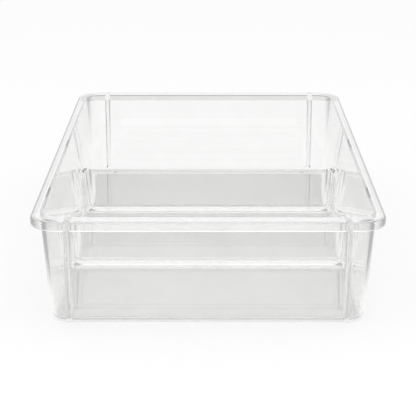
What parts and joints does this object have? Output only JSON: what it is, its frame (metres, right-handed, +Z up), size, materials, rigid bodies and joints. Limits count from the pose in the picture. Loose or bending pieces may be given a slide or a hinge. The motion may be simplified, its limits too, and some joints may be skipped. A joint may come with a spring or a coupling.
{
  "type": "drawer organizer bin",
  "caption": "Shallow clear plastic fridge organizer: a tub with leaning walls, a turned-down rim and stacking posts, and lift-out cross dividers.",
  "frame": {"origin": "middle of the base, on the flat surface that the tub stands on", "axes": "+X to the right across the tub, +Y from front to back along its length, +Z up"},
  "size_m": [0.219, 0.366, 0.071],
  "materials": {
    "tub_clear": "clear, polished, colourless",
    "divider_clear": "clear, polished, colourless"
  },
  "bodies": {
    "tub_body": {"tub": "tub_clear"},
    "front_divider_body": {"front_divider": "divider_clear"},
    "rear_divider_body": {"rear_divider": "divider_clear"}
  },
  "joints": [
    {"name": "front_divider_lift", "type": "slide", "parent": "tub_body", "child": "front_divider_body", "axis": [0, 0, 1], "range_m": [0, 0.08]},
    {"name": "rear_divider_lift", "type": "slide", "parent": "tub_body", "child": "rear_divider_body", "axis": [0, 0, 1], "range_m": [0, 0.08]}
  ]
}
